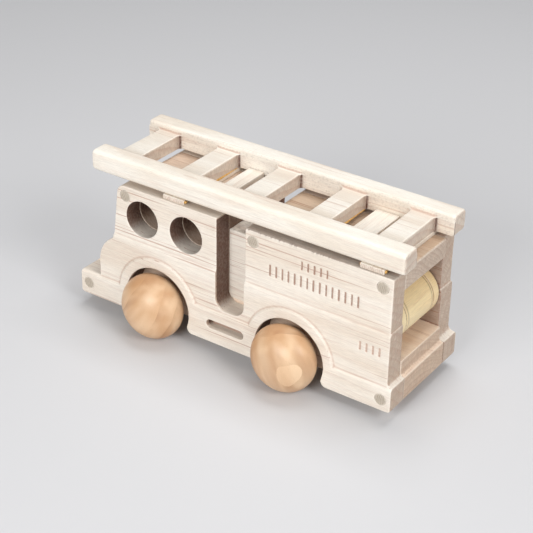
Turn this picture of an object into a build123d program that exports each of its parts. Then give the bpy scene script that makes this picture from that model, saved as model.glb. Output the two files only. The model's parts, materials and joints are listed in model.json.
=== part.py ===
from build123d import *
import os

# A wooden toy fire engine: two profiled side panels on a built-up core, ball wheels on
# dowel axles, a hose spool in the open rear bay and a ladder glued along the roof.
# Millimetres. +X points to the front of the vehicle, +Y to its left and +Z up.
# The origin is on the ground, below the middle of the whole toy.

# ---------------------------------------------------------------- body
PANEL_THICKNESS = 12.7
CORE_WIDTH = 38.1
BODY_LENGTH = 189.0
BODY_HEIGHT = 70.2  # from the underside of the body to the roof
BUMPER_HEIGHT = 13.4
SILL_HEIGHT = 19.1  # top of the lower band between the wheels
FLOOR_HEIGHT = 21.4
BELT_HEIGHT = 41.6
CEILING_HEIGHT = 59.8  # underside of the rear roof
BAND_STEP = 1.1  # lower band and fenders stand proud of the middle of a panel
BELT_STEP = 1.0  # the middle of a panel stands proud of its upper part
STEP_SLOPE = 45.0  # degrees, of the sloping face at each step
EDGE_RADIUS = 0.5

# Distances along the body are measured forward from the rear bumper.
REAR_FACE_CHASSIS = 2.4
REAR_FACE_ROOF = 3.4
LEFT_REAR_FACES = (2.8, 3.4)  # of the left panel, below and above the belt
RIGHT_REAR_FACES = (3.9, 4.6)  # the right panel was glued on a little further forward
LEDGE_FLAT = 0.2  # between the ledge's rounded edge and the cove behind it
GRILLE = 176.4
HOOD_RADIUS = 18.0
HOOD_START_HEIGHT = 22.6
COWL = 166.9
COWL_RADIUS = 2.2
WINDSHIELD_TOP = 163.3
ROOF_CORNER_RADIUS = 5.0
BUMPER_CORNER_RADIUS = 1.4
MID_BLOCK_START = 40.0

# ---------------------------------------------------------------- openings in the body
WINDOWS = (120.6, 148.1)
WINDOW_HEIGHT = 54.4
WINDOW_RADIUS = 9.9
NOTCH_START = 84.9
NOTCH_WIDTH = 17.0
NOTCH_FLOOR = 20.0
NOTCH_RADIUS = 6.35
SLOT = 95.4
SLOT_HEIGHT = 10.6
SLOT_LENGTH = 22.6
SLOT_WIDTH = 5.0
SLOT_DEPTH = 6.0

# Rows of upright vent louvres cut into the outside: (middle, middle height, length, count)
LOUVRE_ROWS = ((45.6, 60.8, 5.0, 5), (45.9, 52.2, 6.6, 15), (13.4, 30.4, 5.0, 4))
LOUVRE_PITCH = 3.5
LOUVRE_WIDTH = 1.2
LOUVRE_DEPTH = 0.7

# ---------------------------------------------------------------- wheels and axles
WHEEL_RADIUS = 17.5
WHEEL_WIDTH = 25.4
WHEEL_CENTRE_Y = 35.5
WHEEL_HUB_RADIUS = 5.0  # flat on the inner side, where the axle goes in
AXLE_HEIGHT = 10.8  # above the underside of the body
ARCH_HEIGHT = 10.2  # middle of the wheel arches, also from the underside
REAR_AXLE = 57.4
FRONT_AXLE = 137.8
AXLE_LENGTH = 68.0
ARCH_RADIUS = 19.9
ARCH_MOUTH_RADIUS = 3.0
FENDER_RADIUS = 25.6

# ---------------------------------------------------------------- dowels
DOWEL_RADIUS = 3.175
GLUE_GAP = 0.02  # radial, around a glued dowel
RUNNING_GAP = 0.07  # radial, around a dowel that turns
DOWEL_END_CHAMFER = 0.4

# Dowels that go right through the body: name: (place along the body, height, half length)
BODY_HALF = CORE_WIDTH / 2 + PANEL_THICKNESS
MIDDLE_HALF = BODY_HALF - BAND_STEP
UPPER_HALF = MIDDLE_HALF - BELT_STEP
BODY_DOWELS = {
    "cab_dowel": (158.6, 64.7, UPPER_HALF),
    "roof_front_dowel": (80.4, 64.3, UPPER_HALF),
    "roof_rear_dowel": (9.0, 64.3, UPPER_HALF),
    "front_bumper_dowel": (183.6, 6.7, BODY_HALF),
    "rear_bumper_dowel": (5.4, 6.0, BODY_HALF),
}

# ---------------------------------------------------------------- hose spool
SPOOL = 17.3
SPOOL_HEIGHT = 39.4
SPOOL_RADIUS = 13.0
SPOOL_LENGTH = 36.9
SPOOL_COLLAR = 5.6  # from the end of the spool to its groove
SPOOL_GROOVE_WIDTH = 0.7
SPOOL_GROOVE_DEPTH = 0.6
SPOOL_EDGE_RADIUS = 1.2
SPOOL_PIN_LENGTH = 50.0

# ---------------------------------------------------------------- ladder
LADDER_OVERHANG = 0.9  # past the rear bumper
LADDER_LENGTH = 181.6
LADDER_WIDTH = 57.15
LADDER_THICKNESS = 11.0
RAIL_WIDTH = 11.0
RAIL_EDGE_RADIUS = 2.4
RAIL_INNER_RADIUS = 1.6
RAIL_END_RADIUS = 1.5
RUNG_WIDTH = 12.7
RUNG_PITCH = 37.68
RUNG_DROP = 3.2  # rung tops below the rail tops
RUNG_COUNT = 5
REAR_RUNG = 9.5
LADDER_CORNER_RADIUS = 2.6
BATTEN_THICKNESS = 2.4
BATTEN_RUNGS = {"rear_batten": 0, "front_batten": 3}  # which rung each batten lies under
CLEAT_HEIGHT = 4.6
CLEATS = {"rear_cleat": (28.1, 12.7), "front_cleat": (106.7, 8.8)}  # rear face, width
CLEAT_SIDE_GAP = 0.3

# ---------------------------------------------------------------- places worked out from these
UNDERSIDE = WHEEL_RADIUS - AXLE_HEIGHT
REAR_X = (LADDER_OVERHANG - BODY_LENGTH) / 2
CORE_HALF = CORE_WIDTH / 2
ROOF = UNDERSIDE + BODY_HEIGHT
LADDER_BOTTOM = ROOF + BATTEN_THICKNESS
COWL_HEIGHT = HOOD_START_HEIGHT + (HOOD_RADIUS**2 - (HOOD_RADIUS - GRILLE + COWL) ** 2) ** 0.5
NOTCH_END = NOTCH_START + NOTCH_WIDTH
AXLES = {"rear": REAR_AXLE, "front": FRONT_AXLE}
HUB_FLAT_Y = WHEEL_CENTRE_Y - WHEEL_WIDTH / 2 * (1 - (WHEEL_HUB_RADIUS / WHEEL_RADIUS) ** 2) ** 0.5
RUNGS = [REAR_RUNG + i * RUNG_PITCH for i in range(RUNG_COUNT)]


def at(along, height):
    """A point of the side view, given forward of the rear bumper and above the underside."""
    return (REAR_X + along, UNDERSIDE + height)


def left_side(y):
    """The plane at y that sees the side view, and extrudes to the left with a negative amount."""
    return Plane.XZ.offset(-y)


def side_view(start, end, low, high, rear_face):
    """The body's side view between two places along it and two heights, as a flat face."""
    with BuildSketch() as view:
        with BuildLine():
            Polyline(
                at(rear_face, BODY_HEIGHT),
                at(rear_face, BUMPER_HEIGHT),
                at(0, BUMPER_HEIGHT),
                at(0, 0),
                at(BODY_LENGTH, 0),
                at(BODY_LENGTH, BUMPER_HEIGHT),
                at(GRILLE, BUMPER_HEIGHT),
                at(GRILLE, HOOD_START_HEIGHT),
            )
            RadiusArc(at(GRILLE, HOOD_START_HEIGHT), at(COWL, COWL_HEIGHT), -HOOD_RADIUS)
            Polyline(at(COWL, COWL_HEIGHT), at(WINDSHIELD_TOP, BODY_HEIGHT), at(rear_face, BODY_HEIGHT))
        make_face()
        corners = {
            at(0, 0): BUMPER_CORNER_RADIUS,
            at(0, BUMPER_HEIGHT): EDGE_RADIUS,
            at(rear_face, BUMPER_HEIGHT): rear_face - EDGE_RADIUS - LEDGE_FLAT,
            at(BODY_LENGTH, 0): BUMPER_CORNER_RADIUS,
            at(BODY_LENGTH, BUMPER_HEIGHT): BUMPER_CORNER_RADIUS,
            at(COWL, COWL_HEIGHT): COWL_RADIUS,
            at(WINDSHIELD_TOP, BODY_HEIGHT): ROOF_CORNER_RADIUS,
        }
        for corner, radius in corners.items():
            fillet(view.vertices().sort_by_distance(Vector(*corner))[0], radius)
        with Locations(at((start + end) / 2, (low + high) / 2)):
            Rectangle(end - start, high - low, mode=Mode.INTERSECT)
    return view.sketch


def round_cut(plane, places, radius, depth):
    """Cuts round holes of one size into the part being built, from a plane and along its normal."""
    with BuildSketch(plane) as holes:
        with Locations(*[at(*place) for place in places]):
            Circle(radius)
    extrude(holes.sketch, amount=depth, mode=Mode.SUBTRACT)


def dowel_places(*names):
    return [BODY_DOWELS[name][:2] for name in names]


def save(part, name):
    part.label = name
    export_step(part, f"parts/{name}.step")


os.makedirs("parts", exist_ok=True)

# ---------------------------------------------------------------- side panels
def raised_band(rear_face):
    """The lower band and fenders of the left panel, with sloping edges down to the panel's middle face."""
    with BuildPart() as band:
        with BuildSketch(left_side(MIDDLE_HALF)):
            with Locations(at(BODY_LENGTH / 2, 0)):
                Rectangle(2 * BODY_LENGTH, 2 * BUMPER_HEIGHT)
            with Locations(at((REAR_AXLE + FRONT_AXLE) / 2, 0)):
                Rectangle(FRONT_AXLE - REAR_AXLE, 2 * SILL_HEIGHT)
            with Locations(*[at(axle, ARCH_HEIGHT) for axle in AXLES.values()]):
                Circle(FENDER_RADIUS)
        extrude(amount=-BAND_STEP, taper=STEP_SLOPE)
        outline = side_view(0, BODY_LENGTH, 0, BODY_HEIGHT, rear_face)
        extrude(left_side(MIDDLE_HALF) * outline, amount=-BAND_STEP, mode=Mode.INTERSECT)
    return band.part


def side_panel(rear_face_lower, rear_face_upper):
    """The left panel, built up outwards: thin at the top, thicker below the belt, thickest at the band."""
    with BuildPart() as panel:
        with BuildSketch(left_side(CORE_HALF)):
            add(side_view(0, BODY_LENGTH, 0, BODY_HEIGHT, rear_face_upper))
        extrude(amount=CORE_HALF - UPPER_HALF)
        with BuildSketch(left_side(CORE_HALF)):
            add(side_view(0, BODY_LENGTH, 0, BELT_HEIGHT, rear_face_lower))
        extrude(amount=CORE_HALF - MIDDLE_HALF)
        belt = UNDERSIDE + BELT_HEIGHT
        with BuildSketch(Plane.YZ) as belt_slope:
            Polygon((UPPER_HALF, belt), (MIDDLE_HALF, belt), (MIDDLE_HALF, belt - BELT_STEP), align=None)
        extrude(amount=BODY_LENGTH, both=True, mode=Mode.SUBTRACT)
        add(raised_band(rear_face_lower))

        # Wheel arches, with rounded mouths, then the notch that is open at the roof.
        with BuildSketch(left_side(CORE_HALF)) as arches:
            with Locations(*[at(axle, ARCH_HEIGHT) for axle in AXLES.values()]):
                Circle(ARCH_RADIUS)
            with Locations(*[at(axle, -ARCH_HEIGHT) for axle in AXLES.values()]):
                Rectangle(3 * ARCH_RADIUS, 2 * ARCH_HEIGHT)
            mouth_corners = arches.vertices().filter_by(lambda v: abs(v.Y - UNDERSIDE) < 0.01)
            near_arch = [v for v in mouth_corners if min(abs(v.X - REAR_X - a) for a in AXLES.values()) < ARCH_RADIUS]
            fillet(near_arch, ARCH_MOUTH_RADIUS)
        extrude(amount=-PANEL_THICKNESS, mode=Mode.SUBTRACT)
        with BuildSketch(left_side(CORE_HALF)) as notch:
            with Locations(at(NOTCH_START + NOTCH_WIDTH / 2, NOTCH_FLOOR + BODY_HEIGHT / 2)):
                Rectangle(NOTCH_WIDTH, BODY_HEIGHT)
            fillet(notch.vertices().group_by(Axis.Y)[0], NOTCH_RADIUS)
        extrude(amount=-PANEL_THICKNESS, mode=Mode.SUBTRACT)

        # Windows, the blind slot below the notch, and the vent louvres.
        outside = left_side(BODY_HALF)
        round_cut(outside, [(window, WINDOW_HEIGHT) for window in WINDOWS], WINDOW_RADIUS, PANEL_THICKNESS)
        with BuildSketch(outside):
            with Locations(at(SLOT, SLOT_HEIGHT)):
                SlotOverall(SLOT_LENGTH, SLOT_WIDTH)
        extrude(amount=SLOT_DEPTH, mode=Mode.SUBTRACT)
        for middle, height, length, count in LOUVRE_ROWS:
            face = UPPER_HALF if height > BELT_HEIGHT else MIDDLE_HALF
            with BuildSketch(left_side(face)):
                with Locations(at(middle, height)):
                    with GridLocations(LOUVRE_PITCH, 0, count, 1):
                        SlotOverall(length, LOUVRE_WIDTH, rotation=90)
            extrude(amount=LOUVRE_DEPTH, mode=Mode.SUBTRACT)

        # Holes for the dowels and, from the inside, for the spool's pin.
        round_cut(outside, dowel_places(*BODY_DOWELS), DOWEL_RADIUS + GLUE_GAP, PANEL_THICKNESS)
        pin_end = left_side(SPOOL_PIN_LENGTH / 2)
        round_cut(pin_end, [(SPOOL, SPOOL_HEIGHT)], DOWEL_RADIUS + GLUE_GAP, SPOOL_PIN_LENGTH / 2)
    return panel.part


save(side_panel(*LEFT_REAR_FACES), "left_panel")
save(mirror(side_panel(*RIGHT_REAR_FACES), Plane.XZ), "right_panel")

# ---------------------------------------------------------------- core between the panels
with BuildPart() as chassis:
    with BuildSketch(Plane.XZ):
        add(side_view(0, BODY_LENGTH, 0, FLOOR_HEIGHT, REAR_FACE_CHASSIS))
    extrude(amount=CORE_HALF, both=True)
    axle_places = [(axle, AXLE_HEIGHT) for axle in AXLES.values()]
    round_cut(left_side(CORE_HALF), axle_places, DOWEL_RADIUS + RUNNING_GAP, CORE_WIDTH)
    bumper_places = dowel_places("front_bumper_dowel", "rear_bumper_dowel")
    round_cut(left_side(CORE_HALF), bumper_places, DOWEL_RADIUS + GLUE_GAP, CORE_WIDTH)

with BuildPart() as cab_block:
    with BuildSketch(Plane.XZ):
        add(side_view(NOTCH_END, BODY_LENGTH, FLOOR_HEIGHT, BODY_HEIGHT, REAR_FACE_CHASSIS))
    extrude(amount=CORE_HALF, both=True)
    round_cut(left_side(CORE_HALF), [(window, WINDOW_HEIGHT) for window in WINDOWS], WINDOW_RADIUS, CORE_WIDTH)
    round_cut(left_side(CORE_HALF), dowel_places("cab_dowel"), DOWEL_RADIUS + GLUE_GAP, CORE_WIDTH)

with BuildPart() as mid_block:
    with BuildSketch(Plane.XZ):
        add(side_view(MID_BLOCK_START, NOTCH_END, FLOOR_HEIGHT, CEILING_HEIGHT, REAR_FACE_CHASSIS))
    extrude(amount=CORE_HALF, both=True)

with BuildPart() as roof_block:
    with BuildSketch(Plane.XZ):
        add(side_view(0, NOTCH_START, CEILING_HEIGHT, BODY_HEIGHT, REAR_FACE_ROOF))
    extrude(amount=CORE_HALF, both=True)
    roof_places = dowel_places("roof_front_dowel", "roof_rear_dowel")
    round_cut(left_side(CORE_HALF), roof_places, DOWEL_RADIUS + GLUE_GAP, CORE_WIDTH)

save(chassis.part, "chassis")
save(cab_block.part, "cab_block")
save(mid_block.part, "mid_block")
save(roof_block.part, "roof_block")

# ---------------------------------------------------------------- dowels through the body
for name, (along, height, half_length) in BODY_DOWELS.items():
    with BuildPart() as dowel:
        with BuildSketch(Plane.XZ):
            with Locations(at(along, height)):
                Circle(DOWEL_RADIUS)
        extrude(amount=half_length, both=True)
    save(dowel.part, name)

# ---------------------------------------------------------------- axles and wheels
for end, along in AXLES.items():
    axle_x, axle_z = at(along, AXLE_HEIGHT)
    with BuildPart() as axle:
        with BuildSketch(Plane.XZ):
            with Locations((axle_x, axle_z)):
                Circle(DOWEL_RADIUS)
        extrude(amount=AXLE_LENGTH / 2, both=True)
        chamfer(axle.edges().filter_by(GeomType.CIRCLE), DOWEL_END_CHAMFER)
    save(axle.part, f"{end}_axle")

    # A flattened ball, with a small flat where the axle's blind hole starts.
    for side, outward in (("left", 1), ("right", -1)):
        radial_plane = Plane(origin=(axle_x, 0, axle_z), x_dir=(0, outward, 0), z_dir=(outward, 0, 0))
        with BuildPart() as wheel:
            with BuildSketch(radial_plane):
                with Locations((WHEEL_CENTRE_Y, 0)):
                    Ellipse(WHEEL_WIDTH / 2, WHEEL_RADIUS)
                with Locations((HUB_FLAT_Y + WHEEL_WIDTH, WHEEL_RADIUS)):
                    Rectangle(2 * WHEEL_WIDTH, 2 * WHEEL_RADIUS, mode=Mode.INTERSECT)
                Rectangle(AXLE_LENGTH, 2 * (DOWEL_RADIUS + GLUE_GAP), mode=Mode.SUBTRACT)
            revolve(axis=Axis((axle_x, 0, axle_z), (0, 1, 0)))
        save(wheel.part, f"{end}_{side}_wheel")

# ---------------------------------------------------------------- hose spool on its pin
spool_x, spool_z = at(SPOOL, SPOOL_HEIGHT)
spool_axis = Axis((spool_x, 0, spool_z), (0, 1, 0))

with BuildPart() as spool_pin:
    with BuildSketch(Plane.XZ):
        with Locations((spool_x, spool_z)):
            Circle(DOWEL_RADIUS)
    extrude(amount=SPOOL_PIN_LENGTH / 2, both=True)
    chamfer(spool_pin.edges().filter_by(GeomType.CIRCLE), DOWEL_END_CHAMFER)

with BuildPart() as hose_spool:
    with BuildSketch(Plane.XZ):
        with Locations((spool_x, spool_z)):
            Circle(SPOOL_RADIUS)
    extrude(amount=SPOOL_LENGTH / 2, both=True)
    fillet(hose_spool.edges().filter_by(GeomType.CIRCLE), SPOOL_EDGE_RADIUS)
    groove_y = SPOOL_LENGTH / 2 - SPOOL_COLLAR
    with BuildSketch(Plane.YZ.offset(spool_x)):
        with Locations((-groove_y, spool_z + SPOOL_RADIUS), (groove_y, spool_z + SPOOL_RADIUS)):
            Rectangle(SPOOL_GROOVE_WIDTH, 2 * SPOOL_GROOVE_DEPTH)
    revolve(axis=spool_axis, mode=Mode.SUBTRACT)
    with BuildSketch(Plane.XZ):
        with Locations((spool_x, spool_z)):
            Circle(DOWEL_RADIUS + RUNNING_GAP)
    extrude(amount=SPOOL_LENGTH / 2, both=True, mode=Mode.SUBTRACT)

save(spool_pin.part, "spool_pin")
save(hose_spool.part, "hose_spool")

# ---------------------------------------------------------------- ladder
ladder_middle = REAR_X - LADDER_OVERHANG + LADDER_LENGTH / 2
clear_width = LADDER_WIDTH - 2 * RAIL_WIDTH
gap_length = RUNG_PITCH - RUNG_WIDTH

with BuildPart() as ladder:
    with BuildSketch(Plane.XY.offset(LADDER_BOTTOM)):
        with Locations((ladder_middle, 0)):
            Rectangle(LADDER_LENGTH, LADDER_WIDTH)
    extrude(amount=LADDER_THICKNESS)
    fillet(ladder.edges().filter_by(Axis.X), RAIL_EDGE_RADIUS)
    fillet(ladder.faces().filter_by(Axis.X).edges(), RAIL_END_RADIUS)

    # The rungs are lower than the rails, and the spaces between them go right through.
    with BuildSketch(Plane.XY.offset(LADDER_BOTTOM + LADDER_THICKNESS)):
        with Locations((ladder_middle, 0)):
            Rectangle(2 * LADDER_LENGTH, clear_width)
    extrude(amount=-RUNG_DROP, mode=Mode.SUBTRACT)
    top_edges = ladder.edges().filter_by(Axis.X).group_by(Axis.Z)[-1]
    fillet([edge for edge in top_edges if abs(abs(edge.center().Y) - clear_width / 2) < 0.01], RAIL_INNER_RADIUS)
    with BuildSketch(Plane.XY.offset(LADDER_BOTTOM)) as gaps:
        with Locations(*[(REAR_X + rung + RUNG_WIDTH + gap_length / 2, 0) for rung in RUNGS[:-1]]):
            Rectangle(gap_length, clear_width)
        fillet(gaps.vertices(), LADDER_CORNER_RADIUS)
    extrude(amount=LADDER_THICKNESS, mode=Mode.SUBTRACT)
    with BuildSketch(Plane.XY.offset(LADDER_BOTTOM)) as ends:
        with Locations((REAR_X + RUNGS[0] - LADDER_LENGTH / 2, 0)):
            Rectangle(LADDER_LENGTH, clear_width)
        with Locations((REAR_X + RUNGS[-1] + RUNG_WIDTH + LADDER_LENGTH / 2, 0)):
            Rectangle(LADDER_LENGTH, clear_width)
        inner_corners = [v for v in ends.vertices() if abs(v.X - ladder_middle) < LADDER_LENGTH / 2]
        fillet(inner_corners, LADDER_CORNER_RADIUS)
    extrude(amount=LADDER_THICKNESS, mode=Mode.SUBTRACT)

save(ladder.part, "ladder")

for name, rung in BATTEN_RUNGS.items():
    with BuildPart() as batten:
        with BuildSketch(Plane.XY.offset(ROOF)):
            with Locations((REAR_X + RUNGS[rung] + RUNG_WIDTH / 2, 0)):
                Rectangle(RUNG_WIDTH, LADDER_WIDTH)
        extrude(amount=BATTEN_THICKNESS)
    save(batten.part, name)

for name, (rear_face, width) in CLEATS.items():
    with BuildPart() as cleat:
        with BuildSketch(Plane.XY.offset(ROOF)):
            with Locations((REAR_X + rear_face + width / 2, 0)):
                Rectangle(width, clear_width - 2 * CLEAT_SIDE_GAP)
        extrude(amount=CLEAT_HEIGHT)
    save(cleat.part, name)
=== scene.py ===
"""A wooden toy fire engine: worn boards, turned ball wheels, dowel ends, a hose spool and a glued ladder.

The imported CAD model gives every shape, size and place. Each CAD node is copied as an even, fine mesh,
its edges are eased except where two glued boards meet, and grain relief is pressed into its surface.
Lengths are in metres, and names ending in _MM are in millimetres.
"""

import json
import math
import random

import bpy
import numpy as np
from mathutils import Matrix, Vector, noise
from mathutils.bvhtree import BVHTree

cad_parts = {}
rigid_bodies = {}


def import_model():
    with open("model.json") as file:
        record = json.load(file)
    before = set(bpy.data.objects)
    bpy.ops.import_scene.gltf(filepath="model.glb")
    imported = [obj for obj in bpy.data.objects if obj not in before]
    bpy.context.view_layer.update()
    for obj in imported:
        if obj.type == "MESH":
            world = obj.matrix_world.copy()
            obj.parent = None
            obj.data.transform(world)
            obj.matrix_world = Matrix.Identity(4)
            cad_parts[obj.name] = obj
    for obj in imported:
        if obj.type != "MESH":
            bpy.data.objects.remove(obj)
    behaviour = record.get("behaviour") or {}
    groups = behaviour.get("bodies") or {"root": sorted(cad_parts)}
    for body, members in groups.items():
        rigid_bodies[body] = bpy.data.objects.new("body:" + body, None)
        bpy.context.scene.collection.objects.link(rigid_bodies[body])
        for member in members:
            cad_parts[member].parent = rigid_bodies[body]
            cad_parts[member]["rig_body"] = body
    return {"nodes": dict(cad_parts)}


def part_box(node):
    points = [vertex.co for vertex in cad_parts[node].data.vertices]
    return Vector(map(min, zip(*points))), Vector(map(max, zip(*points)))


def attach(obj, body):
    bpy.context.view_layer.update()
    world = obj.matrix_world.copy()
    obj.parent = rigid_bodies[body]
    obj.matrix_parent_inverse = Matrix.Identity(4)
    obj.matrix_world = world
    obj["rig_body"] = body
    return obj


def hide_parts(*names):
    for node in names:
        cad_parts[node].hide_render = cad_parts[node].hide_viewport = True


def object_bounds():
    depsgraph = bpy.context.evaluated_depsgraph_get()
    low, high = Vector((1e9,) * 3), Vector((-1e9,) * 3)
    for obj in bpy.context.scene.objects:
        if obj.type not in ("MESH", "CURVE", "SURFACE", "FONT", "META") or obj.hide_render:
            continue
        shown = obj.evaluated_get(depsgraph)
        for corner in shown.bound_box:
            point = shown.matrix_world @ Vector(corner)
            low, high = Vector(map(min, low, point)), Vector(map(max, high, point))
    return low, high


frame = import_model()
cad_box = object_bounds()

MM = 0.001

# ---------------------------------------------------------------- camera and stage
CAMERA_AZIMUTH = 214.2
CAMERA_ELEVATION = 30.1
CAMERA_ROLL = 1.1
CAMERA_DISTANCE = 0.7167
CAMERA_LENS_MM = 96.3
CAMERA_SENSOR_MM = 36.0
AIM_FROM_CENTRE = Vector((-0.0016, 0.0, -0.00545))
FLOOR_SIZE = 6.0
FLOOR_COLOUR = (206, 206, 208)
FLOOR_ROUGHNESS = 0.75
WORLD_STRENGTH = 0.26
LIGHT_TARGET = Vector((0, 0, 0.04))
LIGHTS = {  # place, width and height, watts
    "overhead": ((0.0, -0.25, 1.1), (0.7, 0.5), 6.2),
    "left_side": ((-0.05, 1.25, 0.6), (0.7, 0.5), 11.8),
    "rear_fill": ((-1.1, 0.3, 0.9), (0.5, 0.5), 7.8),
}

# ---------------------------------------------------------------- meshes
FINE_VOXEL = 0.36 * MM
SMALL_VOXEL = 0.30 * MM  # for dowels, strips and the spool
WELD_DISTANCE = 1e-6
KEPT_SHARE = 0.45  # of the fine mesh's triangles, after flat stretches are thinned out
SMALL_EASE = 2  # smoothing steps for shallow steps and grooves
LARGE_EASE = 9  # smoothing steps for the corners of boards
CORNER_MOVE = (0.10 * MM, 0.24 * MM)  # smoothing moves a shallow step less than this, a corner more
CORNER_BLEND_STEPS = 4
SEAM_GAP = 0.9 * MM  # glued neighbours closer than this keep a sharp edge between them
SEAM_EASE = (0.15, 1.0)  # shares of that gap where easing starts and is complete
STILL = 0.004 * MM  # a point that easing moves less than this needs no seam test
WEAR_STEPS = 6
WEAR_RANGE = (0.01 * MM, 0.12 * MM)  # how far a point stands out where wear starts and is full
CREASE_RANGE = (0.008 * MM, 0.08 * MM)
NOISE_SHIFT = 17.13  # between one seed and the next
RELIEF_WIDTH_MM = 0.9  # of the grain relief's lumps, across the grain
RELIEF_STRETCH_MM = 11.0  # added to that along the grain
BROAD_LUMPS_MM = (23, 19, 21)
BROAD_SHARE = 1.3  # height of the broad lumps against the grain relief's
BOARD_RELIEF_MM = 0.035
STRIP_RELIEF_MM = 0.03
TURNED_RELIEF_MM = 0.02

# ---------------------------------------------------------------- wood colours, 0 to 255
PANEL_WOOD = dict(light=(243, 235, 223), dark=(232, 219, 203), streak=(176, 124, 100), end=(190, 165, 142))
CORE_WOOD = dict(light=(244, 222, 200), dark=(232, 202, 176), streak=(172, 124, 98), end=(204, 180, 156))
# The roof block's light and dark colours are painted shade from the ladder above it. Its end colour is not
# shaded.
ROOF_WOOD_SHADED = dict(light=(204, 180, 156), dark=(188, 160, 134), streak=(158, 112, 84), end=(220, 204, 188))
LADDER_WOOD = dict(light=(247, 241, 230), dark=(235, 223, 207), streak=(190, 146, 120), end=(220, 204, 188))
WHEEL_WOOD = dict(light=(232, 200, 164), dark=(200, 154, 112), streak=(152, 98, 60), end=(220, 180, 142))
SPOOL_WOOD = dict(light=(255, 236, 190), dark=(250, 222, 170), streak=(190, 134, 80), end=(226, 194, 144))
DOWEL_WOOD = dict(light=(206, 194, 178), dark=(188, 176, 158), streak=(138, 118, 100), end=(192, 182, 166))
# Scorch colour, which is also used as painted shade in cuts, corners, the rear bay and under the ladder.
BURN_AND_SHADE_BROWN = (74, 34, 18)
# Painted shade colour inside the rear bay. It is also the right panel's scorch colour.
BAY_SHADE_BROWN = (128, 70, 34)
# Painted shade in creases and recesses.
CREASE_SHADE = (176, 126, 102)
WORN_EDGE = (255, 248, 236)
HATCH_GREY = (136, 116, 102)
GLUE_DARK = (196, 142, 62)
GLUE_LIGHT = (228, 186, 112)

# ---------------------------------------------------------------- how strongly each mark of the wood shows
SEED_SHIFTS_MM = (91.7, 37.3, 53.9)
END_FACING = (0.62, 0.92)  # how squarely a face meets the grain where end grain starts and is full
RING_WAVE_MM = 9.0
RING_SPREAD = 1.6  # how unevenly wide the rings are
RINGS_PER_SPREAD = 2.3  # rings before that changes
RAYS_ROUND = 150.0
RAY_LENGTH_MM = 5.0
SAW_PITCH_MM = 1.15
SAW_WAVE_MM = 1.2
SAW_SLANT = 0.3
FAINT_SHARE = 0.22
DASH_SHARE = 0.3
PORE_SHARE = 0.16
FIBRE_LIGHTENING = 0.3  # against how much the fibres darken
RAY_SHARE = 0.28
END_RING_SHARPNESS = 3.0
END_RING_SHARE = 0.4
DOT_SHARE = 0.35
CREASE_SHARE = 0.55
FIBRE_ROUGHNESS = 0.22
END_ROUGHNESS = 0.15
BUMP_DEPTH = 0.12 * MM
FIBRE_HEIGHT = 0.6  # shares of the bump depth
PORE_HEIGHT = -0.5
LONG_LINE_DEPTH = 0.5
DOT_DEPTH = 0.8
HATCH_DEPTH = 0.5
WOOD_IOR = 1.48

# ---------------------------------------------------------------- scorching and painted shade, 0 for clean and 1 for darkest
CUT_WALL_BURN = 0.34  # plus the next three, set by the way the wall faces: painted shade on walls facing rearwards or down, and painted light on walls facing up
CUT_REAR_PAINTED_SHADE = 0.54
CUT_DOWN_PAINTED_SHADE = 0.4
CUT_UP_PAINTED_LIGHT = -0.2
CUT_MOST_BURN_AND_SHADE = 0.9
CUT_FLOOR_BURN = 0.55
# Painted shade inside the rear bay.
REAR_BAY_SHADE = 0.62
SEAM_BURN = 0.6
PANEL_TOP_SHADOW = (0.5, 0.22)  # painted shadow of the ladder on the panel top, behind the notch, and in front of it
TEAR_BURN = (0.25, 0.6)  # everywhere along the torn edge, and added at its teeth
TEAR_DEPTH_MM = (0.08, 0.36)  # the same
# Painted shade on the mid block's rear face in the bay, and painted ladder shadow along its top edge.
BLOCK_FACE_SHADE = 0.45
BLOCK_EDGE_SHADOW = 0.5
# Scorch and painted shade on the notch's front wall, which faces away from the light.
NOTCH_WALL_BURN_AND_SHADE = 0.75
WINDOW_BURN_AND_SHADE = (0.46, 0.52)  # scorch in the light, and painted shade added where the bore faces away from the light
WINDOW_MOST_BURN_AND_SHADE = 0.97
# Painted shadow of the ladder on the cab roof.
CAB_ROOF_SHADOW = 0.24
# Painted shade in the corners behind each rung.
RUNG_CORNER_SHADE = 0.95
RAIL_SPECKLE_BURN = 0.16
RUNG_TOP_BURN = 0.05
SPOOL_LINE_BURN = 0.7

# ---------------------------------------------------------------- ladder, spool and glue
RUNG_DROP_MM = 3.2  # rung tops below the rail tops
RUNGS_BETWEEN_BATTENS = 3  # each batten lies under a rung, this many rungs apart
SPOOL_LINES_MM = (5.6, 7.4)  # browned rings, from each end of the spool
SPOOL_LINE_WIDTH_MM = 0.32
BEAD_RADIUS = 0.8 * MM
BEAD_INNER = 1.6 * MM  # how far a bead reaches inwards and outwards along a batten's end
BEAD_OUTER = 1.0 * MM
GLUE_LINE_RADIUS = 0.5 * MM
GLUE_ROWS = 24
GLUE_SIDES = 12


# ================================================================ mesh work
def even_mesh(node, voxel):
    """The node's CAD surface as an even quad mesh."""
    source = bpy.data.objects.new("source", frame["nodes"][node].data.copy())
    bpy.context.scene.collection.objects.link(source)
    weld = source.modifiers.new("weld", "WELD")
    weld.merge_threshold = WELD_DISTANCE
    remesh = source.modifiers.new("remesh", "REMESH")
    remesh.mode = "VOXEL"
    remesh.voxel_size = voxel
    evaluated = source.evaluated_get(bpy.context.evaluated_depsgraph_get())
    mesh = bpy.data.meshes.new_from_object(evaluated)
    old = source.data
    bpy.data.objects.remove(source)
    bpy.data.meshes.remove(old)
    return mesh


def get_points(mesh):
    points = np.empty(len(mesh.vertices) * 3, np.float32)
    mesh.vertices.foreach_get("co", points)
    return points.reshape(-1, 3).astype(float)


def get_normals(mesh):
    normals = np.empty(len(mesh.vertices) * 3, np.float32)
    mesh.vertex_normals.foreach_get("vector", normals)
    return normals.reshape(-1, 3).astype(float)


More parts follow.
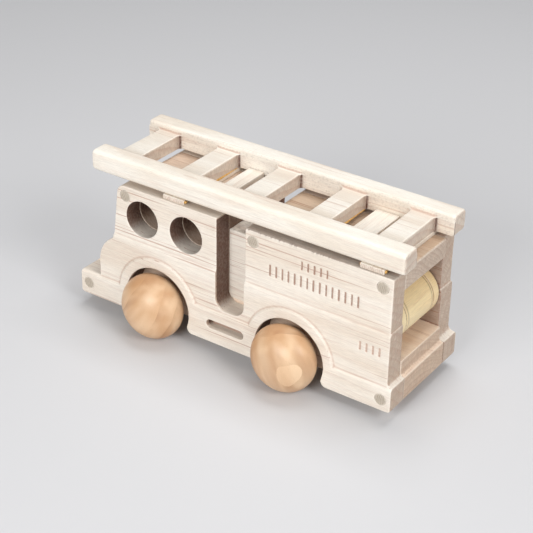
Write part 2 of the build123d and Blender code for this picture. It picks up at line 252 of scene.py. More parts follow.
def get_edges(mesh):
    edges = np.empty(len(mesh.edges) * 2, np.int32)
    mesh.edges.foreach_get("vertices", edges)
    return edges.reshape(-1, 2)


def set_points(mesh, points):
    mesh.vertices.foreach_set("co", points.astype(np.float32).ravel())
    mesh.update()


def relax(values, edges, steps):
    """Each row of values drawn towards the mean of its neighbours, steps times over."""
    first, second = edges.T
    size = len(values)
    count = np.bincount(edges.ravel(), minlength=size)
    for _ in range(steps):
        total = np.empty_like(values)
        for axis in range(values.shape[1]):
            column = values[:, axis]
            total[:, axis] = np.bincount(first, column[second], size)
            total[:, axis] += np.bincount(second, column[first], size)
        values = (values + total / count[:, None]) / 2
    return values


def ramp(value, low, high):
    """0 below low, 1 above high, and a smooth rise between them."""
    share = np.clip((value - low) / (high - low), 0, 1)
    return share * share * (3 - 2 * share)


def between(values, low, high):
    return (values > low) & (values < high)


def noise_at(points, scale_mm, seed):
    """Smooth noise, about -1 to 1, whose lumps are scale_mm long on each axis."""
    places = points / (np.array(scale_mm) * MM) + seed * NOISE_SHIFT
    return np.array([noise.noise(place) for place in places.tolist()])


def boxes_apart(first, second, gap):
    """Whether two boxes, each a lowest and a highest corner, are more than gap from each other."""
    (low, high), (other_low, other_high) = first, second
    return any(other_low[i] - gap > high[i] or low[i] - gap > other_high[i] for i in range(3))


def seam_freedom(node, points):
    """0 where a point touches another piece of the same body, rising to 1 at SEAM_GAP away."""
    body = frame["nodes"][node]["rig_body"]
    vertices, faces = [], []
    for other, obj in frame["nodes"].items():
        if other == node or obj["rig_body"] != body:
            continue
        if boxes_apart(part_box(node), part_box(other), SEAM_GAP):
            continue
        start = len(vertices)
        vertices += [v.co for v in obj.data.vertices]
        faces += [[start + i for i in polygon.vertices] for polygon in obj.data.polygons]
    freedom = np.ones(len(points))
    if not faces:
        return freedom
    tree = BVHTree.FromPolygons(vertices, faces)
    for index, point in enumerate(points.tolist()):
        distance = tree.find_nearest(point, SEAM_GAP)[3]
        if distance is not None:
            freedom[index] = distance / SEAM_GAP
    return freedom


def ease_edges(node, mesh, small_steps, large_steps):
    """Rounds the edges: corners of boards by large_steps, shallow steps and grooves only by small_steps."""
    edges = get_edges(mesh)
    start = get_points(mesh)
    fine = relax(start, edges, small_steps)
    coarse = relax(fine, edges, large_steps)
    moved = np.linalg.norm(coarse - fine, axis=1)
    corner = ramp(moved, *CORNER_MOVE)[:, None]
    eased = fine + (coarse - fine) * relax(corner, edges, CORNER_BLEND_STEPS)
    far = np.linalg.norm(eased - start, axis=1) > STILL
    freedom = np.ones(len(start))
    freedom[far] = seam_freedom(node, start[far])
    eased = start + (eased - start) * ramp(freedom, *SEAM_EASE)[:, None]
    set_points(mesh, eased)


def store(mesh, name, values):
    attribute = mesh.attributes.new(name, "FLOAT", "POINT")
    attribute.data.foreach_set("value", values.astype(np.float32))


def store_edge_wear(mesh):
    """Keeps how far each point stands out from (wear) or lies in (crease) its surroundings."""
    points, normals, edges = get_points(mesh), get_normals(mesh), get_edges(mesh)
    out = ((points - relax(points, edges, WEAR_STEPS)) * normals).sum(axis=1)
    store(mesh, "wear", ramp(out, *WEAR_RANGE))
    store(mesh, "crease", ramp(-out, *CREASE_RANGE))


def press_relief(points, normals, grain, relief_mm, seed):
    """The points moved in and out by lumps drawn out along the grain, and by broad ones."""
    lumps = RELIEF_WIDTH_MM + RELIEF_STRETCH_MM * np.abs(np.array(grain))
    relief = noise_at(points, lumps, seed) * relief_mm
    relief += noise_at(points, BROAD_LUMPS_MM, seed) * BROAD_SHARE * relief_mm
    return points + normals * relief[:, None] * MM


def thin_out(obj):
    """Joins triangles on flat stretches, and leaves the edges and grooves fine."""
    decimate = obj.modifiers.new("thin_out", "DECIMATE")
    decimate.ratio = KEPT_SHARE
    evaluated = obj.evaluated_get(bpy.context.evaluated_depsgraph_get())
    mesh = bpy.data.meshes.new_from_object(evaluated)
    obj.modifiers.clear()
    old = obj.data
    obj.data = mesh
    bpy.data.meshes.remove(old)


def smooth_shade(mesh):
    for polygon in mesh.polygons:
        polygon.use_smooth = True


def wood_piece(node, material, grain, voxel=FINE_VOXEL, small=SMALL_EASE, large=LARGE_EASE,
               relief_mm=STRIP_RELIEF_MM, seed=1.0, detail=None):
    """Replaces a CAD node by its worn wooden piece. detail(points, normals) returns (points,
    burn_and_shade), which holds the scorch and painted shade of each point.
    """
    mesh = even_mesh(node, voxel)
    ease_edges(node, mesh, small, large)
    points, normals = get_points(mesh), get_normals(mesh)
    burn_and_shade = np.zeros(len(points))
    if detail:
        points, burn_and_shade = detail(points, normals)
    set_points(mesh, press_relief(points, normals, grain, relief_mm, seed))
    store_edge_wear(mesh)
    store(mesh, "burn_and_shade", burn_and_shade)
    smooth_shade(mesh)
    obj = bpy.data.objects.new(node + "_wood", mesh)
    bpy.context.scene.collection.objects.link(obj)
    thin_out(obj)
    obj.data.materials.clear()
    obj.data.materials.append(material)
    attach(obj, frame["nodes"][node]["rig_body"])
    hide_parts(node)


# ================================================================ materials
def srgb(red, green, blue):
    """A colour given in 0 to 255 display values, as the linear values that nodes take."""
    linear = [((c / 255 + 0.055) / 1.055) ** 2.4 if c > 10 else c / 255 / 12.92 for c in (red, green, blue)]
    return (*linear, 1.0)


class Graph:
    """Short forms for building a material's nodes."""

    def __init__(self, material):
        material.use_nodes = True
        self.tree = material.node_tree
        self.tree.nodes.clear()

    def node(self, kind, *inputs, **settings):
        made = self.tree.nodes.new(kind)
        named = settings.pop("named", {})
        for key, value in settings.items():
            setattr(made, key, value)
        for socket, value in list(enumerate(inputs)) + list(named.items()):
            self.feed(made.inputs[socket], value)
        return made

    def feed(self, socket, value):
        """Gives a socket a link from another node, or a plain value."""
        if isinstance(value, bpy.types.NodeSocket):
            self.tree.links.new(value, socket)
        else:
            socket.default_value = value

    def math(self, operation, *inputs, clamp=False):
        return self.node("ShaderNodeMath", *inputs, operation=operation, use_clamp=clamp).outputs[0]

    def product(self, first, second, clamp=False):
        return self.math("MULTIPLY", first, second, clamp=clamp)

    def sum(self, first, second):
        return self.math("ADD", first, second)

    def vector(self, operation, *inputs):
        made = self.node("ShaderNodeVectorMath", *inputs, operation=operation)
        return made.outputs["Value" if operation in ("DOT_PRODUCT", "LENGTH") else "Vector"]

    def scaled(self, vector, factor):
        made = self.node("ShaderNodeVectorMath", vector, operation="SCALE", named={"Scale": factor})
        return made.outputs["Vector"]

    def noise(self, vector, scale=1.0, detail=2.0, roughness=0.5):
        inputs = {"Vector": vector, "Scale": scale, "Detail": detail, "Roughness": roughness}
        return self.node("ShaderNodeTexNoise", named=inputs).outputs["Fac"]

    def step(self, value, low, high, low_out=0.0, high_out=1.0):
        """low_out below low, high_out above high, and a smooth change between them."""
        inputs = (value, low, high, low_out, high_out)
        made = self.node("ShaderNodeMapRange", *inputs, interpolation_type="SMOOTHSTEP")
        return made.outputs[0]

    def mix(self, share, first, second, blend="MIX"):
        """The first colour where share is 0, and the second where it is 1."""
        made = self.node("ShaderNodeMix", data_type="RGBA", blend_type=blend)
        inputs = {socket.identifier: socket for socket in made.inputs}
        self.feed(inputs["Factor_Float"], share)
        self.feed(inputs["A_Color"], first)
        self.feed(inputs["B_Color"], second)
        return next(socket for socket in made.outputs if socket.identifier == "Result_Color")

    def attribute(self, name):
        return self.node("ShaderNodeAttribute", attribute_name=name).outputs["Fac"]

    def surface(self, colour, roughness, height, bump, bump_depth, **settings):
        """Ends the graph: a plain reflective surface, with bumps where height changes."""
        inputs = {"Strength": bump, "Distance": bump_depth, "Height": height}
        bumped = self.node("ShaderNodeBump", named=inputs)
        named = {"Base Color": colour, "Roughness": roughness, "Normal": bumped.outputs[0], **settings}
        shader = self.node("ShaderNodeBsdfPrincipled", named=named)
        self.node("ShaderNodeOutputMaterial", shader.outputs[0])


class WoodGraph(Graph):
    """Nodes for solid wood, in millimetres: x along the grain, y and z out from the pith line."""

    def __init__(self, material, grain, pith_mm, seed):
        super().__init__(material)
        coordinates = self.node("ShaderNodeTexCoord")
        place = self.scaled(coordinates.outputs["Object"], 1 / MM)
        turn = Vector(grain).rotation_difference(Vector((1, 0, 0))).to_euler()
        turned = self.node("ShaderNodeMapping", place, vector_type="POINT", named={"Rotation": turn})
        self.place = self.vector("SUBTRACT", turned.outputs[0], pith_mm)
        self.shifted = self.vector("ADD", self.place, tuple(seed * shift for shift in SEED_SHIFTS_MM))
        grain_way = tuple(Vector(grain).normalized())
        facing = self.vector("DOT_PRODUCT", coordinates.outputs["Normal"], grain_way)
        self.is_end = self.step(self.math("ABSOLUTE", facing), *END_FACING)

    def grain_noise(self, along, across, detail=2.0, roughness=0.5):
        """Noise whose lumps are along mm long with the grain and across mm wide."""
        stretched = self.vector("DIVIDE", self.shifted, (along, across, across))
        return self.noise(stretched, detail=detail, roughness=roughness)

    def marks(self, along, across, detail, low, high):
        """1 inside marks of about that length and width, and 0 outside them."""
        return self.step(self.grain_noise(along, across, detail), low, high)

    def growth_rings(self, ring_mm):
        """Uneven, wavy rings: the distance from the pith, and a rise from 0 to 1 across each ring."""
        wave = self.math("SUBTRACT", self.grain_noise(along=90, across=26), 0.5)
        flat = self.vector("MULTIPLY", self.place, (0, 1, 1))
        radius = self.sum(self.vector("LENGTH", flat), self.product(wave, RING_WAVE_MM))
        slow = self.math("DIVIDE", radius, ring_mm * RINGS_PER_SPREAD)
        uneven = self.node("ShaderNodeTexNoise", noise_dimensions="1D", named={"W": slow, "Scale": 1.0})
        spread = self.product(uneven.outputs["Fac"], RING_SPREAD)
        phase = self.sum(self.math("DIVIDE", radius, ring_mm), spread)
        return radius, self.math("FRACT", phase)

    def end_grain(self, radius):
        """Rays out from the pith, small dots, and the lines that a saw leaves across an end."""
        apart = self.node("ShaderNodeSeparateXYZ", self.place)
        y, z = apart.outputs[1], apart.outputs[2]
        angle = self.math("ARCTAN2", y, z)
        ray_place = (self.product(angle, RAYS_ROUND), self.math("DIVIDE", radius, RAY_LENGTH_MM), 0.0)
        ray_noise = self.noise(self.node("ShaderNodeCombineXYZ", *ray_place).outputs[0])
        rays = self.step(ray_noise, 0.45, 0.62)
        dots = self.grain_noise(along=0.3, across=0.3)
        slanted = self.sum(y, self.product(z, SAW_SLANT))
        wavy = self.sum(slanted, self.product(self.grain_noise(along=8, across=3), SAW_WAVE_MM))
        saw_lines = self.math("SINE", self.product(wavy, 2 * math.pi / SAW_PITCH_MM))
        patches = self.marks(along=9, across=2.6, detail=2.0, low=0.3, high=0.6)
        hatch = self.product(self.step(saw_lines, 0.1, 0.9), patches)
        return rays, dots, hatch

    def worn(self, colour, dots, burn_and_shade):
        """The colour with scorch and painted shade in the cuts, painted shade in the creases, and pale worn
        edges.
        """
        mottle = self.step(self.grain_noise(along=3, across=1.2, detail=3.0), 0.3, 0.7, 0.82, 1.0)
        scorch_and_shade = self.product(self.attribute("burn_and_shade"), mottle, clamp=True)
        colour = self.mix(scorch_and_shade, colour, srgb(*burn_and_shade))
        colour = self.mix(self.product(self.attribute("crease"), CREASE_SHARE), colour, srgb(*CREASE_SHADE))
        wear = self.product(self.attribute("wear"), self.step(dots, 0.3, 0.7, 0.1, 0.5))
        wear = self.product(wear, self.math("SUBTRACT", 1.0, scorch_and_shade), clamp=True)
        return self.mix(wear, colour, srgb(*WORN_EDGE))


def wood_material(name, light, dark, streak, end, pith_mm, ring_mm, seed, grain=(1, 0, 0),
                  ring_strength=0.3, ring_sharpness=5.0, streak_strength=0.6, fibre_strength=0.16,
                  end_strength=0.8, hatch_strength=0.55, roughness=0.5, bump=0.25, burn_and_shade=BURN_AND_SHADE_BROWN):
    """Solid wood: rings round a pith line, fibres and streaks along the grain, and end grain across it."""
    material = bpy.data.materials.new(name)
    g = WoodGraph(material, grain, pith_mm, seed)
    radius, ring_phase = g.growth_rings(ring_mm)
    rings = g.math("POWER", ring_phase, ring_sharpness)
    rings = g.product(rings, g.marks(along=45, across=7, detail=1.0, low=0.35, high=0.65))
    long_lines = g.marks(along=130, across=0.9, detail=1.0, low=0.665, high=0.72)
    dashes = g.marks(along=20, across=0.6, detail=1.5, low=0.66, high=0.76)
    faint = g.marks(along=60, across=1.7, detail=2.0, low=0.52, high=0.75)
    pores = g.marks(along=2.2, across=0.14, detail=1.0, low=0.63, high=0.74)
    shade = g.marks(along=70, across=13, detail=2.0, low=0.3, high=0.7)
    fibre = g.grain_noise(along=5.5, across=0.2, detail=3.0, roughness=0.65)

    # faces along the grain
    light, dark, streak = srgb(*light), srgb(*dark), srgb(*streak)
    side = g.mix(shade, light, dark)
    side = g.mix(g.product(rings, ring_strength), side, streak)
    side = g.mix(g.product(faint, streak_strength * FAINT_SHARE), side, streak)
    side = g.mix(g.product(dashes, streak_strength * DASH_SHARE), side, streak)
    side = g.mix(g.product(long_lines, streak_strength), side, streak)
    darkest, lightest = 1.0 - fibre_strength, 1.0 + fibre_strength * FIBRE_LIGHTENING
    fibre_shade = g.step(fibre, 0.25, 0.75, darkest, lightest)
    grey = g.node("ShaderNodeCombineColor", fibre_shade, fibre_shade, fibre_shade).outputs[0]
    side = g.mix(1.0, side, grey, "MULTIPLY")
    side = g.mix(g.product(pores, PORE_SHARE), side, streak)

    # faces across the grain
    rays, dots, hatch = g.end_grain(radius)
    across = g.mix(g.product(rays, RAY_SHARE), srgb(*end), light)
    end_rings = g.math("POWER", ring_phase, END_RING_SHARPNESS)
    across = g.mix(g.product(end_rings, END_RING_SHARE), across, streak)
    across = g.mix(g.product(hatch, hatch_strength), across, srgb(*HATCH_GREY))
    across = g.mix(g.step(dots, 0.45, 0.75, high_out=DOT_SHARE), across, streak)
    colour = g.mix(g.product(g.is_end, end_strength), side, across)
    colour = g.worn(colour, dots, burn_and_shade)

    # how rough and how uneven the surface is
    rough = g.sum(roughness, g.product(g.math("SUBTRACT", fibre, 0.5), FIBRE_ROUGHNESS))
    rough = g.sum(rough, g.product(g.is_end, END_ROUGHNESS))
    height = g.sum(g.product(fibre, FIBRE_HEIGHT), g.product(pores, PORE_HEIGHT))
    height = g.math("SUBTRACT", height, g.product(long_lines, LONG_LINE_DEPTH))
    end_height = g.sum(g.product(dots, DOT_DEPTH), g.product(hatch, HATCH_DEPTH))
    height = g.math("SUBTRACT", height, g.product(end_height, g.is_end))
    g.surface(colour, rough, height, bump, BUMP_DEPTH, IOR=WOOD_IOR)
    return material


def glue_material():
    """Dried amber glue."""
    material = bpy.data.materials.new("dried_glue")
    g = Graph(material)
    place = g.scaled(g.node("ShaderNodeTexCoord").outputs["Object"], 1 / MM)
    cloud = g.noise(place, scale=1.4, detail=3.0)
    colour = g.mix(g.step(cloud, 0.3, 0.7), srgb(*GLUE_DARK), srgb(*GLUE_LIGHT))
    roughness = g.step(cloud, 0.2, 0.8, low_out=0.18, high_out=0.42)
    g.surface(colour, roughness, height=cloud, bump=0.3, bump_depth=0.1 * MM)
    return material


def wood_looks():
    """The settings of wood_material for each kind of piece, and for each wheel."""
    looks = {
        "left_panel": dict(PANEL_WOOD, pith_mm=(0, 60, -20), ring_mm=4.2, ring_strength=0.14, seed=1.0),
        "right_panel": dict(PANEL_WOOD, pith_mm=(0, -70, 10), ring_mm=4.6, ring_strength=0.14,
                            burn_and_shade=BAY_SHADE_BROWN, seed=2.0),
        "chassis": dict(CORE_WOOD, pith_mm=(0, 14, -60), ring_mm=2.6, seed=3.0),
        "cab_block": dict(CORE_WOOD, pith_mm=(0, -30, 120), ring_mm=3.2, seed=4.0),
        "mid_block": dict(PANEL_WOOD, pith_mm=(0, 50, -10), ring_mm=3.0, seed=5.0),
        "roof_block": dict(ROOF_WOOD_SHADED, pith_mm=(0, 34, 20), ring_mm=1.9, seed=6.0),
        "ladder": dict(LADDER_WOOD, pith_mm=(0, 10, 10), ring_mm=5.0, ring_strength=0.2,
                       streak_strength=0.4, hatch_strength=0.6, seed=7.0),
        "strip": dict(LADDER_WOOD, grain=(0, 1, 0), pith_mm=(0, 20, 30), ring_mm=3.0, seed=8.0),
        "spool": dict(SPOOL_WOOD, grain=(0, 1, 0), pith_mm=(0, -85, 20), ring_mm=3.2,
                      streak_strength=0.2, roughness=0.4, bump=0.12, seed=14.0),
        "dowel": dict(DOWEL_WOOD, grain=(0, 1, 0), pith_mm=(0, 3, 4), ring_mm=1.1, hatch_strength=0.7,
                      seed=15.0),
    }
    wheels = ("front_left_wheel", "rear_left_wheel", "front_right_wheel", "rear_right_wheel")
    for index, wheel in enumerate(wheels):
        looks[wheel] = dict(
            WHEEL_WOOD,
            grain=Vector((0.35, 0.25, 1.0)) if wheel.startswith("rear") else Vector((-0.8, 0.3, 1.0)),
            pith_mm=(0, 11.0 + 4 * index, 42.0 - 9 * index),
            ring_mm=9.0,
            ring_strength=0.46,
            ring_sharpness=2.4,
            streak_strength=0.08,
            fibre_strength=0.05,
            end_strength=0.15,
            hatch_strength=0.0,
            roughness=0.38,
            bump=0.08,
            seed=9.0 + index,
        )
    return looks


# ================================================================ wear and scorching of single pieces
def panel_detail(node):
    """Scorched cuts with painted shade and light by how each wall faces, painted shade in the rear bay,
    painted ladder shadow on the top, and a torn top edge for a side panel.
    """
    low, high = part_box(node)
    side = 1 if high.y > 0 else -1
    notch_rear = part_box("roof_block")[1].x
    core_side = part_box("chassis")[1].y
    upper_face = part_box("cab_dowel")[1].y
    clean_end = 6 * MM  # the outline's own edges aren't scorched
    tear_reach = 0.4 * MM

    def cut_walls(x, y, z, normals):
        """Scorch with painted shade and light on the walls of the notch, windows and arches, and scorch on
        the floors of the slot and louvres.
        """
        inside = between(y, core_side + 0.3 * MM, upper_face - 0.25 * MM)
        deep = between(z, low.z + 0.5 * MM, high.z - 1.0 * MM)
        middle = between(x, low.x + clean_end, high.x - clean_end)
        wall = (np.abs(normals[:, 1]) < 0.5) & inside & deep & middle
        burn_and_shade = CUT_WALL_BURN + CUT_REAR_PAINTED_SHADE * ramp(-normals[:, 0], 0.2, 0.9)
        burn_and_shade += CUT_DOWN_PAINTED_SHADE * ramp(-normals[:, 2], -0.2, 0.6)
        burn_and_shade += CUT_UP_PAINTED_LIGHT * ramp(normals[:, 2], 0.2, 0.8)
        floor = (np.abs(normals[:, 1]) > 0.6) * inside
        return wall * np.clip(burn_and_shade, 0, CUT_MOST_BURN_AND_SHADE) + floor * CUT_FLOOR_BURN

    def inner_faces(x, y, z, normals):
        """Painted shade inside the rear bay, the glue seam beside the core, and the painted ladder shadow
        on the top of the board.
        """
        rear_bay = (y < core_side + 0.1 * MM) & (x < notch_rear)
        seam = np.exp(-np.abs(y - core_side) / (0.3 * MM)) * (np.abs(normals[:, 0]) > 0.5)
        top_face = (normals[:, 2] > 0.7) * (z > high.z - 0.4 * MM)
        top_shadow = np.where(x < notch_rear + 1 * MM, *PANEL_TOP_SHADOW)
        return rear_bay * REAR_BAY_SHADE + seam * SEAM_BURN + top_face * top_shadow

    def torn_edge(x, y, z):
        """Closeness to the outer top edge behind the notch, the share torn there, and its uneven teeth."""
        behind = notch_rear - x
        share = ramp(behind, -0.5 * MM, 1 * MM) * (1 - 0.75 * ramp(behind, 34 * MM, 60 * MM))
        teeth = noise_at(np.stack([x, x * 0, x * 0], 1), (0.75, 1, 1), 3.0 + side)
        distance = np.maximum(high.z - z, 0) + np.maximum(upper_face - y, 0)
        return np.exp(-distance / tear_reach), share, teeth

    def detail(points, normals):
        x, y, z = points[:, 0], points[:, 1] * side, points[:, 2]
        burn_and_shade = cut_walls(x, y, z, normals) + inner_faces(x, y, z, normals)
        near, share, teeth = torn_edge(x, y, z)
        depth = (TEAR_DEPTH_MM[0] + TEAR_DEPTH_MM[1] * ramp(teeth, -0.1, 0.4)) * MM * share
        moved = points.copy()
        moved[:, 2] -= depth * near
        moved[:, 1] -= side * depth * near * 0.5
        return moved, burn_and_shade + near * share * (TEAR_BURN[0] + TEAR_BURN[1] * ramp(teeth, 0.0, 0.4))

    return detail


def mid_block_detail(points, normals):
    """Painted shade on the rear face, at the open bay, and painted ladder shadow along the top edge."""
    low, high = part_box("mid_block")
    x, z = points[:, 0], points[:, 2]
    rear_face = ramp(-normals[:, 0], 0.5, 0.9) * between(x, low.x - 1 * MM, low.x + 1 * MM)
    patchy = ramp(noise_at(points, (0.8, 3, 3), 5.0), -0.2, 0.4)
    top_edge = np.exp(-np.maximum(high.z - z, 0) / (0.7 * MM)) * patchy
    return points, BLOCK_FACE_SHADE * rear_face + BLOCK_EDGE_SHADOW * top_edge


def cab_detail(points, normals):
    """Scorched window bores with painted shade: darkest where they turn down and forward, away from the
    light, and greyer where the light falls in. Painted shade on the notch wall and painted ladder shadow on
    the roof.
    """
    low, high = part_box("cab_block")
    x, z = points[:, 0], points[:, 2]
    wall = (np.abs(normals[:, 1]) < 0.4) & (z < high.z - 1 * MM)
    inner = wall & between(x, low.x + 1 * MM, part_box("cab_dowel")[0].x + 6 * MM)
    above_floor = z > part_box("chassis")[1].z + 6 * MM
    shaded = ramp(-normals[:, 2] - 0.5 * normals[:, 0], -0.9, 0.7)
    burn_and_shade = inner * above_floor * (WINDOW_BURN_AND_SHADE[0] + WINDOW_BURN_AND_SHADE[1] * shaded)
    burn_and_shade += (x < low.x + 1 * MM) * NOTCH_WALL_BURN_AND_SHADE
    burn_and_shade += (normals[:, 2] > 0.8) * (z > high.z - 1 * MM) * CAB_ROOF_SHADOW
    return points, np.clip(burn_and_shade, 0, WINDOW_MOST_BURN_AND_SHADE)


def rung_rears():
    """The rear faces of the rungs over the rear and front battens, and the distance between two rungs."""
    rear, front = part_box("rear_batten")[0].x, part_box("front_batten")[0].x
    return rear, front, (front - rear) / RUNGS_BETWEEN_BATTENS


def ladder_detail(points, normals):
    """Painted shade in the corners where the rear of each rung meets a rail, and rough, speckled rail
    insides.
    """
    low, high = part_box("ladder")
    rail_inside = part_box("front_cleat")[1].y
    _, rung_rear, rung_pitch = rung_rears()
    x, z = points[:, 0], points[:, 2]
    across = np.abs(points[:, 1])
    rung_back = ramp(-normals[:, 0], 0.3, 0.8) * (across < rail_inside + 0.6 * MM)
    corner = np.exp(-np.maximum(rail_inside - across, 0) / (2.0 * MM)) * rung_back
    rung_top = (normals[:, 2] > 0.8) * (across < rail_inside)
    in_gap = between(x, low.x + 2 * MM, high.x - 2 * MM)
    side_wall = (np.abs(normals[:, 1]) > 0.6) & (across < rail_inside + 1.5 * MM) & in_gap
    rough = noise_at(points, (0.9, 0.9, 0.9), 9.0) * side_wall * 0.05 * MM
    speckle = ramp(noise_at(points, (0.8, 0.8, 0.8), 11.0), 0.15, 0.5) * side_wall * RAIL_SPECKLE_BURN
    behind_rung = np.mod(rung_rear - x, rung_pitch)
    below_top = ramp(high.z - z, (RUNG_DROP_MM - 1.2) * MM, (RUNG_DROP_MM + 0.6) * MM)
    patchy = 0.7 + 0.5 * noise_at(points, (1.5, 1.5, 1.5), 12.0)
    rail_corner_shade = np.exp(-behind_rung / (1.1 * MM)) * side_wall * below_top * patchy
    burn_and_shade = corner * RUNG_CORNER_SHADE + rail_corner_shade + speckle + rung_top * RUNG_TOP_BURN
    return points + normals * rough[:, None], burn_and_shade


def turned_rings(depth_mm, pitch_mm):
    """Fine rings that the lathe leaves round a wheel or spool whose axis is along Y."""

    def detail(points, normals):
        uneven = noise_at(points, (9, 9, 9), 2.0) * 1.5
        wave = np.sin(points[:, 1] / (pitch_mm * MM) * 2 * math.pi + uneven)
        return points + normals * (wave * depth_mm * MM)[:, None], np.zeros(len(points))

    return detail


def spool_detail(points, normals):
    """The lathe's rings, and the browned lines near each end."""
    moved, _ = turned_rings(depth_mm=0.006, pitch_mm=1.1)(points, normals)
    from_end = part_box("hose_spool")[1].y - np.abs(points[:, 1])
    width = SPOOL_LINE_WIDTH_MM * MM
    lines = sum(np.exp(-(((from_end - place * MM) / width) ** 2)) for place in SPOOL_LINES_MM)
    return moved, SPOOL_LINE_BURN * lines


# ================================================================ pieces
def build_pieces(materials):
    """Every CAD node as a worn wooden piece. The length of its name is its seed where no other is given."""
    along, across, upright = (1, 0, 0), (0, 1, 0), (0, 0, 1)
    for node in ("left_panel", "right_panel"):
        wood_piece(node, materials[node], along, relief_mm=BOARD_RELIEF_MM, seed=len(node),
                   detail=panel_detail(node))
    core = {"chassis": None, "cab_block": cab_detail, "mid_block": mid_block_detail, "roof_block": None}
    for index, (node, detail) in enumerate(core.items()):
        wood_piece(node, materials[node], along, relief_mm=BOARD_RELIEF_MM, seed=3.0 + index, detail=detail)
    wood_piece("ladder", materials["ladder"], along, large=5, relief_mm=BOARD_RELIEF_MM, seed=8.0,
               detail=ladder_detail)
    for node in ("front_batten", "rear_batten", "front_cleat", "rear_cleat"):
        wood_piece(node, materials["strip"], across, voxel=SMALL_VOXEL, large=3, seed=len(node))
    for node in frame["nodes"]:
        if node.endswith("_wheel"):
            wood_piece(node, materials[node], upright, relief_mm=TURNED_RELIEF_MM, seed=len(node),
                       detail=turned_rings(depth_mm=0.008, pitch_mm=1.3))
        elif node.endswith(("dowel", "axle", "spool_pin")):
            wood_piece(node, materials["dowel"], across, voxel=SMALL_VOXEL, large=2,
                       relief_mm=TURNED_RELIEF_MM, seed=len(node))
    wood_piece("hose_spool", materials["spool"], across, voxel=SMALL_VOXEL, large=3,
               relief_mm=TURNED_RELIEF_MM, detail=spool_detail)


def glue_bead(name, material, start, end, radius, seed):
    """A lumpy bead of squeezed-out glue along a line, round in section and pinched at its ends."""
    rng = random.Random(seed)
    start, end = Vector(start), Vector(end)
    along = end - start
    across = along.cross(Vector((0, 0, 1))).normalized()
    up = across.cross(along).normalized()
    vertices, faces = [], []
    for row in range(GLUE_ROWS + 1):
        share = row / GLUE_ROWS
        thick = radius * math.sin(math.pi * (0.04 + 0.92 * share)) ** 0.4
        thick *= 0.75 + 0.25 * math.sin(share * 9 + seed) + 0.15 * rng.random()
        middle = start + along * share
        for step in range(GLUE_SIDES):
            turn = 2 * math.pi * step / GLUE_SIDES
            vertices.append(middle + (across * math.cos(turn) + up * math.sin(turn)) * thick)
    for row in range(GLUE_ROWS):
        near, far = row * GLUE_SIDES, (row + 1) * GLUE_SIDES
        for step in range(GLUE_SIDES):
            after = (step + 1) % GLUE_SIDES
            faces.append((near + step, near + after, far + after, far + step))
    faces.append(tuple(reversed(range(GLUE_SIDES))))
    faces.append(tuple(range(GLUE_ROWS * GLUE_SIDES, (GLUE_ROWS + 1) * GLUE_SIDES)))
    mesh = bpy.data.meshes.new(name)
    mesh.from_pydata(vertices, [], faces)
    smooth_shade(mesh)
    mesh.materials.append(material)
    obj = bpy.data.objects.new(name, mesh)
    bpy.context.scene.collection.objects.link(obj)
    soften = obj.modifiers.new("soften", "SUBSURF")
    soften.levels = 1
    soften.render_levels = 1
    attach(obj, "body")


def batten_glue(node, material):
    """Beads at the four corners of a batten's open ends."""
    low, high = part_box(node)
    middle = (low.z + high.z) / 2
    for side, side_name in ((-1, "right"), (1, "left")):
        y = (high.y - 1.4 * MM) * side
        for end, x in (("rear", low.x - 0.1 * MM), ("front", high.x + 0.1 * MM)):
            name = f"glue_{node}_{end}_{side_name}"
            inner = (x, y - BEAD_INNER * side, middle)
            outer = (x, y + BEAD_OUTER * side, middle)
            glue_bead(name, material, inner, outer, BEAD_RADIUS, len(name) + side)


def build_glue(material):
    """Glue squeezed out at the open ends of the battens and along the rear of two rungs."""
    batten_glue("front_batten", material)
    batten_glue("rear_batten", material)
    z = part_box("ladder")[0].z + 0.2 * MM
    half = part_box("front_cleat")[1].y
    rear, front, rung_pitch = rung_rears()
    for index, rung_rear in enumerate((front, rear + rung_pitch)):
        x = rung_rear - 0.1 * MM
        glue_bead(f"glue_line_{index}", material, (x, half, z), (x, -half, z), GLUE_LINE_RADIUS, 3 + index)


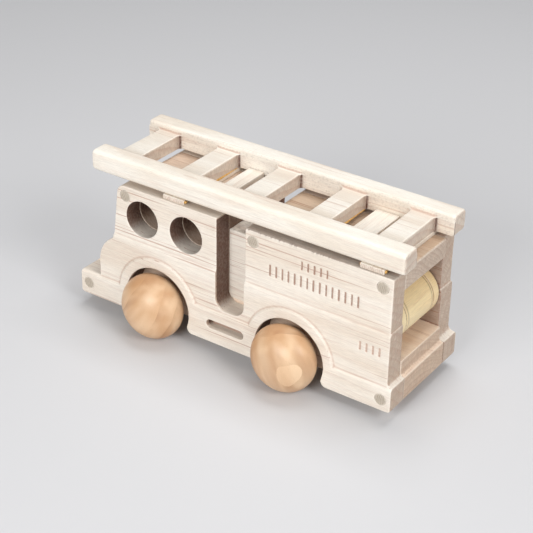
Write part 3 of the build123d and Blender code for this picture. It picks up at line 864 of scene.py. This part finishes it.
# ================================================================ stage
def build_floor():
    half = FLOOR_SIZE / 2
    corners = [(-half, -half, 0), (half, -half, 0), (half, half, 0), (-half, half, 0)]
    mesh = bpy.data.meshes.new("floor")
    mesh.from_pydata(corners, [], [(0, 1, 2, 3)])
    floor = bpy.data.objects.new("floor", mesh)
    bpy.context.scene.collection.objects.link(floor)
    material = bpy.data.materials.new("pale_floor")
    material.use_nodes = True
    shader = material.node_tree.nodes["Principled BSDF"]
    shader.inputs["Base Color"].default_value = srgb(*FLOOR_COLOUR)
    shader.inputs["Roughness"].default_value = FLOOR_ROUGHNESS
    mesh.materials.append(material)


def area_light(name, place, size, watts):
    light = bpy.data.lights.new(name, "AREA")
    light.shape = "RECTANGLE"
    light.size, light.size_y = size
    light.energy = watts
    obj = bpy.data.objects.new(name, light)
    bpy.context.scene.collection.objects.link(obj)
    obj.location = place
    obj.rotation_euler = (LIGHT_TARGET - Vector(place)).to_track_quat("-Z", "Y").to_euler()


def build_lights():
    """Soft white light from all round, and three large lamps."""
    world = bpy.data.worlds.new("studio")
    bpy.context.scene.world = world
    world.use_nodes = True
    background = world.node_tree.nodes["Background"]
    background.inputs["Color"].default_value = (1.0, 1.0, 1.0, 1.0)
    background.inputs["Strength"].default_value = WORLD_STRENGTH
    for name, (place, size, watts) in LIGHTS.items():
        area_light(name, place, size, watts)


def build_camera():
    low, high = cad_box
    aim = (low + high) / 2 + AIM_FROM_CENTRE
    azimuth, elevation = math.radians(CAMERA_AZIMUTH), math.radians(CAMERA_ELEVATION)
    back = Vector((
        math.sin(azimuth) * math.cos(elevation),
        -math.cos(azimuth) * math.cos(elevation),
        math.sin(elevation),
    ))
    camera = bpy.data.objects.new("camera", bpy.data.cameras.new("camera"))
    bpy.context.scene.collection.objects.link(camera)
    camera.data.lens = CAMERA_LENS_MM
    camera.data.sensor_width = CAMERA_SENSOR_MM
    camera.location = aim + back * CAMERA_DISTANCE
    level = (-back).to_track_quat("-Z", "Y")
    roll = Matrix.Rotation(math.radians(CAMERA_ROLL), 3, "Z").to_quaternion()
    camera.rotation_mode = "QUATERNION"
    camera.rotation_quaternion = level @ roll
    bpy.context.scene.camera = camera


build_pieces({name: wood_material(name + "_wood", **look) for name, look in wood_looks().items()})
build_glue(glue_material())
build_floor()
build_lights()
build_camera()
bpy.context.scene.view_settings.view_transform = "Standard"
